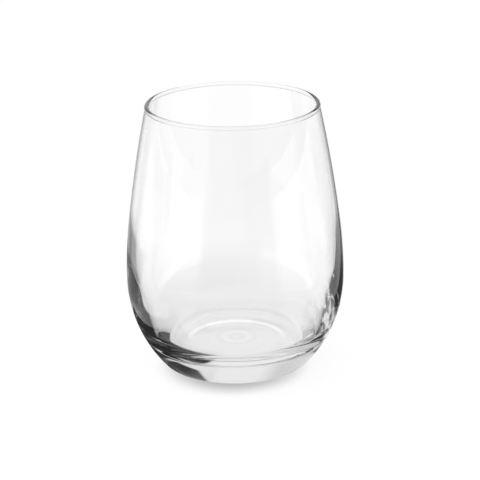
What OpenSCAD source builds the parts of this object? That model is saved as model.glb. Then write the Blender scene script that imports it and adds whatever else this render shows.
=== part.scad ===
// Stemless wine glass: one piece of clear glass, thin at the rim and heavy at the base.
// The section is a chain of arcs that meet on common tangents, one chain for the outside
// and one for the inside, so the wall thins evenly from the base to the mouth.
// Millimetres, +Z up, origin at the middle of the ring that the glass stands on.

/* [Outside] */
// Height from the table to the top of the rim
glass_h = 110; // [95:1:130]
// Widest diameter, at the belly
belly_d = 90; // [82:1:104]
// Height of the belly above the table
belly_z = 37; // [30:1:46]
// Section radius of the shoulder, just above the belly
shoulder_r = 185; // [150:5:230]
// Turn of the shoulder before the straighter upper wall begins, in degrees
shoulder_turn = 7; // [4:0.5:9]
// Outside diameter of the wall where it meets the rim bead
rim_d = 70.4; // [60:0.2:80]

/* [Rim bead] */
// How far the fire-polished bead stands out from the wall outside
bead_out = 0.25; // [0.1:0.05:0.6]
// How far the bead stands out from the wall inside
bead_in = 0.1; // [0.05:0.05:0.4]

/* [Walls] */
// Wall thickness just under the rim bead
rim_wall = 1.5; // [1:0.1:2.4]
// Wall thickness at the inside's widest level, taken from the belly diameter
belly_wall = 3.3; // [2:0.1:5]
// Height of the inside's widest level above the belly
inner_lift = 8; // [2:0.5:14]

/* [Base] */
// Outer diameter of the flat ring that the glass stands on
foot_d = 57.6; // [50:0.2:66]
// Radius of the rounded edge between the standing ring and the lower belly
foot_edge_r = 4; // [2:0.5:6]
// Glass in the middle of the base, from the hollow underneath to the floor of the bowl
base_glass = 8.5; // [5:0.5:12]
// Section radius of the bowl's nearly flat floor
floor_r = 300; // [200:10:500]
// Section radius of the corner between the floor and the side, inside
corner_r = 15; // [8:1:20]
// Section radius of the inside's lower side
side_r = 76; // [60:1:90]

/* [Hollow underneath] */
// Diameter of the shallow hollow under the base
punt_d = 46; // [30:1:50]
// Depth of the hollow at its middle
punt_h = 0.6; // [0.3:0.1:3]
// Radius of the softened edge between the hollow and the standing ring
punt_edge_r = 1; // [0.4:0.1:2]

/* [Hidden] */
clear_glass = [0.86, 0.93, 0.94, 0.45];
overrun = 2;
arc_fn = 720;
turn_fn = 240;

// A derived radius, rounded to six figures before anything is built on it
function six_figures(v) = let (step = pow(10, floor(log(abs(v))) - 5)) round(v / step) * step;
// Radius of the arc that leaves point p square to the direction n and runs through q.
// It is negative where the arc has to bend outwards to reach q.
function arc_radius(p, n, q) = six_figures(-((q - p) * (q - p)) / (2 * ((q - p) * n)));
// Radius of the arc that leaves the belly upright and rolls onto a rounded edge of radius
// edge, whose centre lies a inside the belly and b below it
function roll_radius(a, b, edge) = six_figures((a * a + b * b - edge * edge) / (2 * (a - edge)));
// Centre at distance r0 from c0 and r1 from c1, on the side away from the axis
function crossing(c0, r0, c1, r1) =
    let (span = norm(c1 - c0),
         along = (span * span + r0 * r0 - r1 * r1) / (2 * span),
         across = sqrt(r0 * r0 - along * along),
         way = (c1 - c0) / span)
    c0 + along * way + across * [-way.y, way.x];
// Point of the circle about c that lies on the line through another centre
function touch(from, c, r) = c + r * (c - from) / norm(c - from);

shoulder_way = [cos(shoulder_turn), sin(shoulder_turn)];
bead_r = (rim_wall + bead_out + bead_in) / 2;
bead_c = [rim_d / 2 + bead_out - bead_r, glass_h - bead_r];

// Outside, from the table up: foot edge, lower belly, shoulder, upper wall
foot_rise = belly_z - foot_edge_r;
lower_r = roll_radius((belly_d - foot_d) / 2, foot_rise, foot_edge_r);
lower_c = [belly_d / 2 - lower_r, belly_z];
foot_c = [lower_c.x + sqrt(pow(lower_r - foot_edge_r, 2) - foot_rise * foot_rise), foot_edge_r];
foot_end = touch(lower_c, foot_c, foot_edge_r);
shoulder_c = [belly_d / 2 - shoulder_r, belly_z];
shoulder_end = shoulder_c + shoulder_r * shoulder_way;
upper_r = arc_radius(shoulder_end, shoulder_way, [rim_d / 2, bead_c.y]);
upper_c = shoulder_end - upper_r * shoulder_way;

// Inside, from the floor up: floor, corner, side, shoulder, upper wall
floor_z = punt_h + base_glass;
inner_r = belly_d / 2 - belly_wall;
inner_z = belly_z + inner_lift;
floor_c = [0, floor_z + floor_r];
side_c = [inner_r - side_r, inner_z];
corner_c = crossing(floor_c, floor_r - corner_r, side_c, side_r - corner_r);
floor_end = touch(floor_c, corner_c, corner_r);
corner_end = touch(side_c, corner_c, corner_r);
inner_shoulder_r = shoulder_r - belly_wall;
inner_shoulder_c = [inner_r - inner_shoulder_r, inner_z];
inner_shoulder_end = inner_shoulder_c + inner_shoulder_r * shoulder_way;
inner_upper_r = arc_radius(inner_shoulder_end, shoulder_way, [rim_d / 2 - rim_wall, bead_c.y]);
inner_upper_c = inner_shoulder_end - inner_upper_r * shoulder_way;

// Hollow underneath: a shallow cap of a sphere, and the softened edge that it meets
punt_r = six_figures((punt_d * punt_d / 4 + punt_h * punt_h) / (2 * punt_h));
punt_c = [0, punt_h - punt_r];
punt_edge_c = [sqrt(pow(punt_r + punt_edge_r, 2) - pow(punt_edge_r - punt_c.y, 2)), punt_edge_r];
punt_end = touch(punt_c, punt_edge_c, -punt_edge_r);

// A square that reaches past the whole section, standing on a height or hanging from it
reach = glass_h + belly_d;
module above(z) translate([0, z]) square(reach);
module below(z) translate([0, z]) mirror([0, 1]) square(reach);

// A disc placed by whole millimetres, then by ever smaller steps, so that the centre of a
// wide arc keeps its last digits and neighbouring arcs meet without a ledge
module disc(c, r) {
    whole = [round(c.x), round(c.y)];
    fine_share = 10000;
    part = [round((c.x - whole.x) * fine_share), round((c.y - whole.y) * fine_share)] / fine_share;
    translate(whole) translate(part) translate(c - whole - part) circle(r, $fn = arc_fn);
}

// A slice of the section between two heights, from the axis out to the arc of radius r
// about c. A negative radius is an arc that is hollow towards the outside.
module slice(c, r, z0, z1) {
    intersection() {
        if (r > 0)
            union() {
                disc(c, r);
                if (c.x > 0) translate([0, -reach]) square([c.x, 2 * reach]);
            }
        else
            difference() {
                translate([0, -reach]) square([c.x, 2 * reach]);
                disc(c, -r);
            }
        above(z0);
        below(z1);
    }
}

module outside() {
    slice(foot_c, foot_edge_r, 0, foot_end.y);
    slice(lower_c, lower_r, foot_end.y, belly_z);
    slice(shoulder_c, shoulder_r, belly_z, shoulder_end.y);
    slice(upper_c, upper_r, shoulder_end.y, bead_c.y);
}

module inside() {
    slice(floor_c, floor_r, 0, floor_end.y);
    slice(corner_c, corner_r, floor_end.y, corner_end.y);
    slice(side_c, side_r, corner_end.y, inner_z);
    slice(inner_shoulder_c, inner_shoulder_r, inner_z, inner_shoulder_end.y);
    slice(inner_upper_c, inner_upper_r, inner_shoulder_end.y, bead_c.y + overrun);
}

module punt() {
    intersection() {
        disc(punt_c, punt_r);
        above(-overrun);
    }
}

// What the softened edge takes off the corner between the hollow and the standing ring
module punt_edge_waste() {
    difference() {
        polygon([punt_end, punt_edge_c, [punt_edge_c.x, -overrun], [punt_end.x, -overrun]]);
        disc(punt_edge_c, punt_edge_r);
    }
}

module glass() {
    color(clear_glass)
        rotate_extrude($fn = turn_fn) {
            difference() {
                outside();
                inside();
                punt();
                punt_edge_waste();
            }
            disc(bead_c, bead_r);
        }
}

glass();
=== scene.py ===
import math

import bpy
from mathutils import Matrix, Vector


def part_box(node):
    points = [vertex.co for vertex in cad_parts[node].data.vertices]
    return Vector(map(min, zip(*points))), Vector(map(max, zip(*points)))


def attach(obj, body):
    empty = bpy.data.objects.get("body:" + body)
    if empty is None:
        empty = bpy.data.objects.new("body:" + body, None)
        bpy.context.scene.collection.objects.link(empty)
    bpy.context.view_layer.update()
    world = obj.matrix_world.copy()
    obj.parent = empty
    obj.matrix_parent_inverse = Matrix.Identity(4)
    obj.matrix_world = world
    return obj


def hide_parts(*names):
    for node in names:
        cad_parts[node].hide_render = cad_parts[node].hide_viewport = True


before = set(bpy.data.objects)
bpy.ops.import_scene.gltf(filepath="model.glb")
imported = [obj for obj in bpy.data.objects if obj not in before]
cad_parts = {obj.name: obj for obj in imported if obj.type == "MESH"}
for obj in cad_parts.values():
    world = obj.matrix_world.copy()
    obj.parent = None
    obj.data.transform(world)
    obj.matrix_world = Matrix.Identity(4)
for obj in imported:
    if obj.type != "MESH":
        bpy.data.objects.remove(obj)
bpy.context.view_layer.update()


# Glass: the whole object, one body of clear soda-lime glass, thin at the rim and heavy at the
# base. It is one closed section, a chain of arcs outside and another inside, turned round the
# axis; the rim is fire-polished into a round bead, and the base is a little hollow underneath.
glass_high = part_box("glass")[1]
HEIGHT = glass_high.z
BELLY_R = glass_high.x
BELLY_Z = 0.037
SHOULDER_R = 0.185
SHOULDER_TURN = math.radians(7)
RIM_R = 0.0352
BEAD_OUT = 0.00025
BEAD_IN = 0.0001
BEAD_CLEARANCE_SHARE = 1.01
RIM_WALL = 0.0015
BELLY_WALL = 0.0033
INNER_LIFT = 0.008
FOOT_R = 0.0288
FOOT_EDGE_R = 0.004
BASE_GLASS = 0.0085
FLOOR_R = 0.3
CORNER_R = 0.015
SIDE_R = 0.076
PUNT_R = 0.023
PUNT_H = 0.0006
PUNT_EDGE_R = 0.001

# Steps in each arc of the section, and round the axis
PUNT_STEPS = 40
PUNT_EDGE_STEPS = 8
RING_STEPS = 4
FOOT_EDGE_STEPS = 24
LOWER_STEPS = 80
SHOULDER_STEPS = 40
WALL_STEPS = 80
WALL_CROWDING = 2
BEAD_STEPS = 48
FLOOR_STEPS = 48
CORNER_STEPS = 64
SIDE_STEPS = 48
AROUND = 288

IOR = 1.5
TINTS = ((0.985, 0.987, 0.985, 1), (0.995, 0.996, 0.995, 1))
SWIRL = {"Scale": 38.0, "Detail": 2.0}
SWIRL_STRENGTH = 0.05
SWIRL_DEPTH = 0.0002
HAZE = {"Scale": 160.0, "Detail": 4.0}
HAZE_BAND = (0.35, 0.75)
HAZE_ROUGHNESS = 0.012
SHADOW_LIGHT = (0.8, 0.8, 0.8, 1)


def arc(centre, radius, start, end, count, crowding=1):
    """Points on an arc of the section, as (distance from the axis, height), angles in radians.
    Crowding above 1 packs them closer together towards the end."""
    turns = [end + (start - end) * (1 - k / count)**crowding for k in range(count + 1)]
    return [Vector((centre.x + radius * math.cos(t), centre.y + radius * math.sin(t))) for t in turns]


def heading_from(centre, point):
    """Angle of a point as seen from an arc's centre."""
    return math.atan2(point.y - centre.y, point.x - centre.x)


def closing_arc(start, way, end):
    """Radius of the arc that leaves start square to way and runs through end."""
    chord = end - start
    return -chord.dot(chord) / (2 * chord.dot(way))


def shoulder_and_wall(belly, shoulder_r, end):
    """The arcs above a widest point: the shoulder, then the straighter wall up to the bead."""
    way = Vector((math.cos(SHOULDER_TURN), math.sin(SHOULDER_TURN)))
    centre = belly - Vector((shoulder_r, 0))
    joint = centre + shoulder_r * way
    wall_r = closing_arc(joint, way, end)
    wall_centre = joint - wall_r * way
    wall_end = heading_from(wall_centre, end)
    shoulder = arc(centre, shoulder_r, 0, SHOULDER_TURN, SHOULDER_STEPS)
    return shoulder[:-1] + arc(wall_centre, wall_r, SHOULDER_TURN, wall_end, WALL_STEPS, WALL_CROWDING)


bead_r = (RIM_WALL + BEAD_OUT + BEAD_IN) / 2
bead = Vector((RIM_R + BEAD_OUT - bead_r, HEIGHT - bead_r))


def outside():
    """The outside of the section, from the standing ring up to the bead."""
    inset = BELLY_R - FOOT_R
    rise = BELLY_Z - FOOT_EDGE_R
    lower_r = (inset**2 + rise**2 - FOOT_EDGE_R**2) / (2 * (inset - FOOT_EDGE_R))
    lower = Vector((BELLY_R - lower_r, BELLY_Z))
    foot = Vector((FOOT_R, FOOT_EDGE_R))
    roll = heading_from(lower, foot)
    points = arc(foot, FOOT_EDGE_R, -math.pi / 2, roll, FOOT_EDGE_STEPS)[:-1]
    points += arc(lower, lower_r, roll, 0, LOWER_STEPS)[:-1]
    return points + shoulder_and_wall(Vector((BELLY_R, BELLY_Z)), SHOULDER_R, Vector((RIM_R, bead.y)))


def inside():
    """The inside of the section, from the middle of the floor up to the bead."""
    belly = Vector((BELLY_R - BELLY_WALL, BELLY_Z + INNER_LIFT))
    floor = Vector((0, PUNT_H + BASE_GLASS + FLOOR_R))
    side = belly - Vector((SIDE_R, 0))
    span = (side - floor).length
    reach = FLOOR_R - CORNER_R
    along = (span**2 + reach**2 - (SIDE_R - CORNER_R)**2) / (2 * span)
    across = math.sqrt(reach**2 - along**2)
    way = (side - floor).normalized()
    corner = floor + along * way + across * Vector((-way.y, way.x))
    floor_end = heading_from(floor, corner)
    side_start = heading_from(side, corner)
    points = arc(floor, FLOOR_R, -math.pi / 2, floor_end, FLOOR_STEPS)[:-1]
    points += arc(corner, CORNER_R, floor_end, side_start, CORNER_STEPS)[:-1]
    points += arc(side, SIDE_R, side_start, 0, SIDE_STEPS)[:-1]
    return points + shoulder_and_wall(belly, SHOULDER_R - BELLY_WALL, Vector((RIM_R - RIM_WALL, bead.y)))


def underside():
    """The underside, from the middle of the hollow out to the standing ring."""
    punt_r = (PUNT_R**2 + PUNT_H**2) / (2 * PUNT_H)
    punt = Vector((0, PUNT_H - punt_r))
    edge_x = math.sqrt((punt_r + PUNT_EDGE_R)**2 - (PUNT_EDGE_R - punt.y)**2)
    edge = Vector((edge_x, PUNT_EDGE_R))
    hollow_end = heading_from(punt, edge)
    points = arc(punt, punt_r, math.pi / 2, hollow_end, PUNT_STEPS)[:-1]
    points += arc(edge, PUNT_EDGE_R, hollow_end + math.pi, 3 * math.pi / 2, PUNT_EDGE_STEPS)[:-1]
    return points + [Vector((edge_x + (FOOT_R - edge_x) * k / RING_STEPS, 0)) for k in range(RING_STEPS)]


def clear_of_bead(points):
    """The points of a wall that lie outside the bead's circle."""
    return [p for p in points if (p - bead).length > bead_r * BEAD_CLEARANCE_SHARE]


outer = clear_of_bead(outside())
inner = clear_of_bead(inside())
bead_start = heading_from(bead, outer[-1])
bead_end = heading_from(bead, inner[-1]) + 2 * math.pi
rim = arc(bead, bead_r, bead_start, bead_end, BEAD_STEPS)
section = underside() + outer + rim + inner[::-1]
bead_joints = (outer[-1], rim[0], rim[-1], inner[-1])


def turned(name, points, creases, around):
    """A closed mesh from a section whose first and last points lie on the axis, smooth but for
    the creases."""
    rings = points[1:-1]
    count = len(rings)
    corners = [(0, 0, points[0].y), (0, 0, points[-1].y)]
    poles = len(corners)
    for k in range(around):
        t = 2 * math.pi * k / around
        corners += [(p.x * math.cos(t), p.x * math.sin(t), p.y) for p in rings]
    faces = []
    for k in range(around):
        here = poles + k * count
        there = poles + (k + 1) % around * count
        faces.append((0, there, here))
        faces += [(here + i, there + i, there + i + 1, here + i + 1) for i in range(count - 1)]
        faces.append((here + count - 1, there + count - 1, 1))
    mesh = bpy.data.meshes.new(name)
    mesh.from_pydata(corners, [], faces)
    mesh.polygons.foreach_set("use_smooth", [True] * len(faces))
    for edge in mesh.edges:
        first, second = ((corner - poles) % count for corner in edge.vertices)
        edge.use_edge_sharp = first == second and rings[first] in creases
    mesh.validate()
    return mesh


class Wire:
    """One output of a shader tree; sums on it add Math nodes to that tree."""

    def __init__(self, paint, socket):
        self.paint = paint
        self.socket = socket

    def out(self, name):
        """Another output of the same node."""
        return Wire(self.paint, self.socket.node.outputs[name])

    def math(self, operation, *terms):
        """The result of a Math node in the same tree."""
        return self.paint.node("ShaderNodeMath", {"operation": operation}, dict(enumerate(terms)))

    def __add__(self, other):
        return self.math("ADD", self, other)

    __radd__ = __add__

    def __mul__(self, other):
        return self.math("MULTIPLY", self, other)

    def __sub__(self, other):
        return self.math("SUBTRACT", self, other)

    def __rsub__(self, other):
        return self.math("SUBTRACT", other, self)

    def __gt__(self, other):
        return self.math("GREATER_THAN", self, other)


class Paint:
    """The node tree of a material or world, emptied and ready to be filled."""

    def __init__(self, owner):
        owner.use_nodes = True
        self.tree = owner.node_tree
        self.tree.nodes.clear()

    def node(self, kind, settings, sockets, out=0):
        """Adds a node, sets its settings, then its sockets by value or by wire; out is what it gives."""
        made = self.tree.nodes.new(kind)
        for name, value in settings.items():
            setattr(made, name, value)
        for name, value in sockets.items():
            if isinstance(value, Wire):
                self.tree.links.new(value.socket, made.inputs[name])
            else:
                made.inputs[name].default_value = value
        return Wire(self, made.outputs[out]) if made.outputs else None

    def place(self):
        """The place on the surface, in metres."""
        return self.node("ShaderNodeTexCoord", {}, {}, "Object")

    def light_path(self, name):
        """What the light has met on its way, by the name of a Light Path output."""
        return self.node("ShaderNodeLightPath", {}, {}, name)

    def ramp(self, value, start, end, low=0.0, high=1.0):
        """A soft step from low to high as value goes from start to end."""
        settings = {"interpolation_type": "SMOOTHSTEP"}
        return self.node("ShaderNodeMapRange", settings, {0: value, 1: start, 2: end, 3: low, 4: high})

    def tint(self, share, first, second):
        """A colour between two, by share."""
        colour_a, colour_b, colour_out = 6, 7, 2
        sockets = {"Factor": share, colour_a: first, colour_b: second}
        return self.node("ShaderNodeMix", {"data_type": "RGBA"}, sockets, colour_out)


def clear_glass():
    """Polished clear glass with a trace of green, faint swirls from the mould and a thin haze. It
    lets most of the room's light through to its shadow."""
    material = bpy.data.materials.new("clear_glass")
    paint = Paint(material)
    place = paint.place()
    swirl = paint.node("ShaderNodeTexNoise", {}, {"Vector": place, **SWIRL})
    haze = paint.node("ShaderNodeTexNoise", {}, {"Vector": place, **HAZE})
    skin = paint.node("ShaderNodeBump", {}, {
        "Strength": SWIRL_STRENGTH,
        "Distance": SWIRL_DEPTH,
        "Height": swirl,
    })
    glass = paint.node("ShaderNodeBsdfPrincipled", {}, {
        "Base Color": paint.tint(swirl, *TINTS),
        "Roughness": paint.ramp(haze, *HAZE_BAND, 0.0, HAZE_ROUGHNESS),
        "IOR": IOR,
        "Transmission Weight": 1.0,
        "Normal": skin,
    })
    let_through = paint.node("ShaderNodeBsdfTransparent", {}, {"Color": SHADOW_LIGHT})
    shadow_ray = paint.light_path("Is Shadow Ray")
    both = paint.node("ShaderNodeMixShader", {}, {0: shadow_ray, 1: glass, 2: let_through})
    paint.node("ShaderNodeOutputMaterial", {}, {"Surface": both})
    return material


glass = bpy.data.objects.new("glass_body", turned("glass_body", section, bead_joints, AROUND))
bpy.context.scene.collection.objects.link(glass)
glass.data.materials.append(clear_glass())
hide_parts("glass")
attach(glass, "root")


# Table: a plain pale sheet that the glass stands on. Most of its light is its own, so that it reads
# as white, and the rest comes from the studio, so that it takes the glass's soft shadow. Painted into
# its own light are a contact shadow, a cast shadow behind the glass, shade under the foot, and a
# bright crescent and faint rings of light. Light that the glass has turned by a reflection sees
# another table in its place, painted with dark and grey zones and streaks: painted reflections.
TABLE_HALF = 3.0
GAP_UNDER_GLASS = 0.00005
TABLE_GLOW = 0.885
TABLE_PAINT = 0.17
MOTTLE = {"Scale": 9.0}
MOTTLE_BAND = (0.3, 0.7)
MOTTLE_SHARE = 0.98

# Below, a name in STEP is (start, end), and one in ZONE, X, Y or TURN is (start, end, softness of
# the edges). All are in metres, but TURN is in degrees left of +Y. Two values in one GLOW or GREY
# belong to the start and the end of its step.
MIDDLE = (0, 0, 0)
BLACK = (0, 0, 0, 1)
# Painted shadow and light in the table's own glow: a darker disc under the foot, the contact shadow, a
# cast shadow behind the glass, and a bright crescent and faint rings of light.
UNDER_STEP = (0.0285, 0.030)
UNDER_GLOW = 0.80
CONTACT_AT = (-0.001, -0.010, 0)
CONTACT_STEP = (0.017, 0.034)
CONTACT_DIP = 0.52
CAST_AT = (-0.012, 0.045, 0)
CAST_STEP = (0.020, 0.090)
CAST_DIP = 0.12
CRESCENT_FLAT = (1, 1.4, 1)
CRESCENT_ZONE = (0.0202, 0.0226, 0.0007)
CRESCENT_STEP = (-0.001, 0.008)
CRESCENT_GLOW = 1.08
RINGS_AT = (0, 0.0045, 0)
RING_PITCH = 0.0055
RINGS_SHOWN = 2.5
RING_CONTRAST = 0.05

# Painted reflections: the table as only light that the glass has turned sees it.
TURNED_STEP = (0.05, 0.25)
TURNED_GLOW = (0.66, 0.95)
LEFT_SIDE_TURN = (62, 146, 5)
RIGHT_SIDE_TURN = (-138, -72, 5)
SIDE_STEP = (0.07, 0.30)
SIDE_GLOW = (0.9, 1.5)
AHEAD_TURN = (-138, 146, 5)
BEHIND_STEP = (0.15, 0.35)
BEHIND_GLOW = 0.45
LEFT_GREY_TURN = (28, 74, 3)
LEFT_GREY_ZONE = (0.085, 0.165, 0.01)
LEFT_GREY = 0.36
PATCH_X = (0.036, 0.066, 0.003)
PATCH_Y = (-0.030, 0.002, 0.003)
PATCH_GREY = 0.35
STREAK_X = (0.046, 0.076, 0.003)
STREAK_Y = (-0.030, 0.050, 0.003)
STREAKS = {"Scale": 130.0, "Detail": 1.0}
STREAK_BAND = (0.48, 0.56)
STREAK_DARK = 0.75
BLACK_REFLECTION_X = (-0.065, -0.0135, 0.0015)
BLACK_REFLECTION_Y = (-0.042, 0.042, 0.0015)
BLACK_REFLECTION_SLANT = 0.10
BLACK_REFLECTION_GLOW = 0.02
GREY_REFLECTION_X = (0.050, 0.088, 0.002)
GREY_REFLECTION_SLANT = 0.25
GREY_REFLECTION_STEP = (0.020, 0.024)
GREY_REFLECTION_GAP_Y = (0.040, 0.044, 0.001)
GREY_REFLECTION_FAR_STEP = (0.08, 0.14)
GREY_REFLECTION_GLOW = (0.07, 0.32)
LIT_TURN = (-15, 112, 5)
AWAY_SHARE = 0.12
FOOT_STEP = (0.030, 0.034)


def flat_sheet(name, half, height):
    """A square sheet facing up."""
    mesh = bpy.data.meshes.new(name)
    corners = [(-half, -half, height), (half, -half, height), (half, half, height), (-half, half, height)]
    mesh.from_pydata(corners, [], [(0, 1, 2, 3)])
    sheet = bpy.data.objects.new(name, mesh)
    bpy.context.scene.collection.objects.link(sheet)
    return sheet


def distance(paint, place, centre):
    """How far a place is from a centre."""
    return paint.node("ShaderNodeVectorMath", {"operation": "DISTANCE"}, {0: place, 1: centre}, "Value")


def heading_of(across):
    """Degrees left of +Y of a place or a direction, given its X."""
    return across.math("ARCTAN2", across * -1.0, across.out("Y")) * math.degrees(1)


def between(paint, value, start, end, soft):
    """1 where value lies from start to end, 0 outside, with soft edges."""
    rise = paint.ramp(value, start - soft, start + soft)
    return rise * paint.ramp(value, end - soft, end + soft, 1.0, 0.0)


def towards(light, share, goal):
    """Light taken a share of the way to a goal."""
    return light + share * (goal - light)


def turned_light(paint, times=1):
    """1 for light that the glass has turned by this many reflections or more, 0 for the rest."""
    return paint.light_path("Glossy Depth") > times - 0.5


def dimmed_away(paint, light, heading, lit_turn):
    """Light turned more than once comes in dimmer from outside the lit turn."""
    away = 1.0 - between(paint, heading, *lit_turn)
    return light * (1.0 - turned_light(paint, 2) * away * (1.0 - AWAY_SHARE))


def straight_glow(paint, place, depth):
    """The table's own light where it goes straight through the glass or past it, with painted shadow
    and light in it. It is painted darker in the contact shadow, under the foot and, for what is seen
    through the glass, in a cast shadow behind the glass. A painted bright crescent and faint painted
    rings of light lie on it, where they show through the base."""
    # Painted contact shadow, and a painted cast shadow behind the glass for all but camera rays.
    contact = paint.ramp(distance(paint, place, CONTACT_AT), *CONTACT_STEP, CONTACT_DIP, 0.0)
    cast = paint.ramp(distance(paint, place, CAST_AT), *CAST_STEP, CAST_DIP, 0.0)
    glow = TABLE_GLOW - contact - (1.0 - paint.light_path("Is Camera Ray")) * cast
    # Painted shade: darker under the foot.
    glow = towards(glow, paint.ramp(distance(paint, place, MIDDLE), *UNDER_STEP, 1.0, 0.0), UNDER_GLOW)
    # Painted light: a bright crescent and faint rings that show through the base.
    flat = paint.node("ShaderNodeVectorMath", {"operation": "MULTIPLY"}, {0: place, 1: CRESCENT_FLAT})
    crescent = between(paint, distance(paint, flat, MIDDLE), *CRESCENT_ZONE)
    glow = towards(glow, crescent * paint.ramp(depth, *CRESCENT_STEP), CRESCENT_GLOW)
    from_rings = distance(paint, flat, RINGS_AT)
    phase = from_rings * (2 * math.pi / RING_PITCH)
    ripple = phase.math("COSINE", phase)
    return glow + ripple * paint.ramp(from_rings, RING_PITCH, RINGS_SHOWN * RING_PITCH, RING_CONTRAST, 0.0)


def painted_black_reflection(paint, along, depth):
    """1 on the painted black reflection at the left, a strip that lies a little askew."""
    paper = between(paint, along + depth * BLACK_REFLECTION_SLANT, *BLACK_REFLECTION_X)
    return paper * between(paint, depth, *BLACK_REFLECTION_Y)


def painted_grey_reflection(paint, along, depth):
    """1 on the painted grey reflection at the right, a slanting strip, but for the gap across it."""
    card = between(paint, along - depth * GREY_REFLECTION_SLANT, *GREY_REFLECTION_X) * paint.ramp(depth, *GREY_REFLECTION_STEP)
    return card * (1.0 - between(paint, depth, *GREY_REFLECTION_GAP_Y))


def turned_glow(paint, place, along, depth):
    """The table as light that the glass has turned sees it: painted reflections, brighter further out
    and at the sides, dimmer behind, with grey patches, dark streaks and black and grey strips.
    """
    heading = heading_of(along)
    away = distance(paint, place, MIDDLE)
    light = paint.ramp(away, *TURNED_STEP, *TURNED_GLOW)
    sides = between(paint, heading, *LEFT_SIDE_TURN) + between(paint, heading, *RIGHT_SIDE_TURN)
    light = towards(light, sides, paint.ramp(away, *SIDE_STEP, *SIDE_GLOW))
    behind = (1.0 - between(paint, heading, *AHEAD_TURN)) * paint.ramp(away, *BEHIND_STEP)
    light = towards(light, behind, BEHIND_GLOW)
    left_grey = between(paint, heading, *LEFT_GREY_TURN) * between(paint, away, *LEFT_GREY_ZONE)
    light = towards(light, left_grey, LEFT_GREY)
    patch = between(paint, along, *PATCH_X) * between(paint, depth, *PATCH_Y)
    light = towards(light, patch, PATCH_GREY)
    speckle = paint.node("ShaderNodeTexNoise", {}, {"Vector": place, **STREAKS})
    speckle = paint.ramp(speckle, *STREAK_BAND)
    streaks = speckle * between(paint, along, *STREAK_X) * between(paint, depth, *STREAK_Y)
    light = light * (1.0 - streaks * STREAK_DARK)
    # Painted black and grey reflections over the rest.
    light = towards(light, painted_black_reflection(paint, along, depth), BLACK_REFLECTION_GLOW)
    light = towards(light, painted_grey_reflection(paint, along, depth), paint.ramp(depth, *GREY_REFLECTION_FAR_STEP, *GREY_REFLECTION_GLOW))
    return dimmed_away(paint, light, heading, LIT_TURN)


def matt(paint, colour, glow):
    """A surface without shine that also gives light of its own."""
    return paint.node("ShaderNodeBsdfPrincipled", {}, {
        "Base Color": colour,
        "Roughness": 1.0,
        "Specular IOR Level": 0.0,
        "Emission Color": glow,
        "Emission Strength": 1.0,
    })


def pale_table():
    """Matt white with a faint mottle and painted shade, and the table of painted reflections that turned
    light sees in its place. Under the foot and close to it, turned light sees the white too, but for
    the painted black reflection."""
    material = bpy.data.materials.new("pale_table")
    paint = Paint(material)
    place = paint.place()
    along = paint.node("ShaderNodeSeparateXYZ", {}, {"Vector": place})
    depth = along.out("Y")
    mottle = paint.node("ShaderNodeTexNoise", {}, {"Vector": place, **MOTTLE})
    shade = paint.ramp(mottle, *MOTTLE_BAND, TABLE_PAINT * MOTTLE_SHARE, TABLE_PAINT)
    white = matt(paint, shade, straight_glow(paint, place, depth))
    # Painted reflections, shown only to light that the glass has turned.
    painted_reflections = matt(paint, BLACK, turned_glow(paint, place, along, depth))
    foot = paint.ramp(distance(paint, place, MIDDLE), *FOOT_STEP, 1.0, 0.0)
    shown = 1.0 - (1.0 - painted_black_reflection(paint, along, depth)) * foot
    both = paint.node("ShaderNodeMixShader", {}, {0: shown * turned_light(paint), 1: white, 2: painted_reflections})
    paint.node("ShaderNodeOutputMaterial", {}, {"Surface": both})
    return material


table = flat_sheet("table", TABLE_HALF, -GAP_UNDER_GLASS)
table.data.materials.append(pale_table())


# Studio: a white room round the glass, dark to its right and dimmer behind the camera, with a large
# soft light overhead. What the camera sees directly is plain white. Turns are zones in degrees
# left of +Y, and pitches are steps in degrees above level.
LEVEL_PITCH = (4, 6)
LOW_PITCH = (22, 24)
HIGH_PITCH = (53, 57)
LOW_RIGHT_TURN = (-48, 0, 2)

BACK_LIGHT = 0.84
RIGHT_TURN = (-150, -20, 2)
RIGHT_LIGHT = 0.02
LEFT_TURN = (18, 150, 8)
LEFT_LIGHT = 0.62
FRONT_TURN = (-150, 150, 2)
BEHIND_LIGHT = 0.35
TOP_LIGHT = 1.6

TURNED_BACK = 0.8
TURNED_AHEAD_TURN = (-17, 178, 3)
TURNED_RIGHT = 0.20
TURNED_LEFT_TURN = (28, 150, 4)
TURNED_LEFT = 0.62
LEFT_BEHIND_TURN = (150, 178, 4)
TURNED_LEFT_BEHIND = 0.35
TURNED_HIGH_PITCH = (50, 62)
TURNED_TOP = 0.8
SKY_LIT_TURN = (-15, 138, 5)


def straight_room(paint, heading, pitch, low_right):
    """The room as it shows straight through the glass, white near level."""
    right = between(paint, heading, *RIGHT_TURN) * (1.0 - low_right)
    light = BACK_LIGHT + right * (RIGHT_LIGHT - BACK_LIGHT)
    light = light + between(paint, heading, *LEFT_TURN) * (LEFT_LIGHT - BACK_LIGHT)
    light = light + (1.0 - between(paint, heading, *FRONT_TURN)) * (BEHIND_LIGHT - BACK_LIGHT)
    light = towards(light, paint.ramp(pitch, *HIGH_PITCH), TOP_LIGHT)
    return towards(light, paint.ramp(pitch, *LEVEL_PITCH, 1.0, 0.0), 1.0)


def turned_room(paint, heading, pitch, low_right):
    """The room as light that the glass has turned sees it."""
    right = (1.0 - between(paint, heading, *TURNED_AHEAD_TURN)) * (1.0 - low_right)
    light = TURNED_BACK + right * (TURNED_RIGHT - TURNED_BACK)
    light = light + between(paint, heading, *TURNED_LEFT_TURN) * (TURNED_LEFT - TURNED_BACK)
    light = light + between(paint, heading, *LEFT_BEHIND_TURN) * (TURNED_LEFT_BEHIND - TURNED_BACK)
    light = dimmed_away(paint, light, heading, SKY_LIT_TURN)
    return towards(light, paint.ramp(pitch, *TURNED_HIGH_PITCH), TURNED_TOP)


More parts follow.
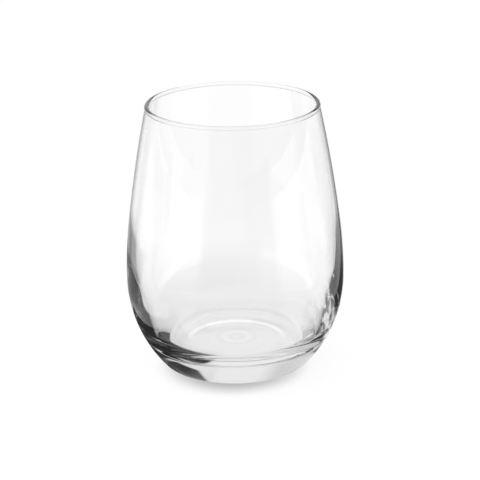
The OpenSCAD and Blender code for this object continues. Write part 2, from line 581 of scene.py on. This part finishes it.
def white_studio():
    """The room's light, by heading and pitch."""
    world = bpy.data.worlds.new("white_studio")
    bpy.context.scene.world = world
    paint = Paint(world)
    way = paint.node("ShaderNodeTexCoord", {}, {}, "Generated")
    across = paint.node("ShaderNodeSeparateXYZ", {}, {"Vector": way})
    heading = heading_of(across)
    rise = across.out("Z")
    pitch = rise.math("ARCSINE", rise) * math.degrees(1)
    low_right = paint.ramp(pitch, *LOW_PITCH, 1.0, 0.0) * between(paint, heading, *LOW_RIGHT_TURN)
    straight = straight_room(paint, heading, pitch, low_right)
    light = towards(straight, turned_light(paint), turned_room(paint, heading, pitch, low_right))
    light = towards(light, paint.light_path("Is Camera Ray"), 1.0)
    room = paint.node("ShaderNodeBackground", {}, {"Color": light})
    paint.node("ShaderNodeOutputWorld", {}, {"Surface": room})


white_studio()


# Camera: a long lens a little above the rim, turned by a degree as the photograph is. It is aimed
# so that the glass's middle falls on its pixel of the photograph.
FRAME_PIXELS = 480
SENSOR_WIDTH = 36.0
CAMERA_DISTANCE = 0.700
PIXELS_PER_METRE = 2425
CAMERA_RISE = math.radians(19.52)
CAMERA_ROLL = math.radians(1.01)
GLASS_MIDDLE_PIXEL = (234.61, 231.9)


def set_up_camera():
    """Makes the camera and aims it."""
    focal_pixels = PIXELS_PER_METRE * CAMERA_DISTANCE
    ahead = Vector((0, math.cos(CAMERA_RISE), -math.sin(CAMERA_RISE)))
    above = Vector((0, math.sin(CAMERA_RISE), math.cos(CAMERA_RISE)))
    right = math.cos(CAMERA_ROLL) * Vector((1, 0, 0)) - math.sin(CAMERA_ROLL) * above
    up = math.sin(CAMERA_ROLL) * Vector((1, 0, 0)) + math.cos(CAMERA_ROLL) * above
    aside = (FRAME_PIXELS / 2 - GLASS_MIDDLE_PIXEL[0]) / focal_pixels
    down = (FRAME_PIXELS / 2 - GLASS_MIDDLE_PIXEL[1]) / focal_pixels
    back = -(ahead + right * aside - up * down).normalized()
    right = (right - right.dot(back) * back).normalized()
    place = Matrix((right, back.cross(right), back)).transposed().to_4x4()
    place.translation = Vector((0, 0, HEIGHT / 2)) - ahead * CAMERA_DISTANCE
    data = bpy.data.cameras.new("camera")
    data.sensor_width = SENSOR_WIDTH
    data.lens = focal_pixels / FRAME_PIXELS * SENSOR_WIDTH
    camera = bpy.data.objects.new("camera", data)
    camera.matrix_world = place
    bpy.context.scene.collection.objects.link(camera)
    bpy.context.scene.camera = camera


set_up_camera()


# Bounces: light crosses the wall and turns inside the base many times before it leaves, so it is
# followed for longer than usual. Colours are shown as they are written.
BOUNCES = 24
cycles = bpy.context.scene.cycles
cycles.max_bounces = BOUNCES
cycles.transmission_bounces = BOUNCES
cycles.glossy_bounces = BOUNCES
cycles.transparent_max_bounces = BOUNCES
bpy.context.scene.view_settings.view_transform = "Standard"
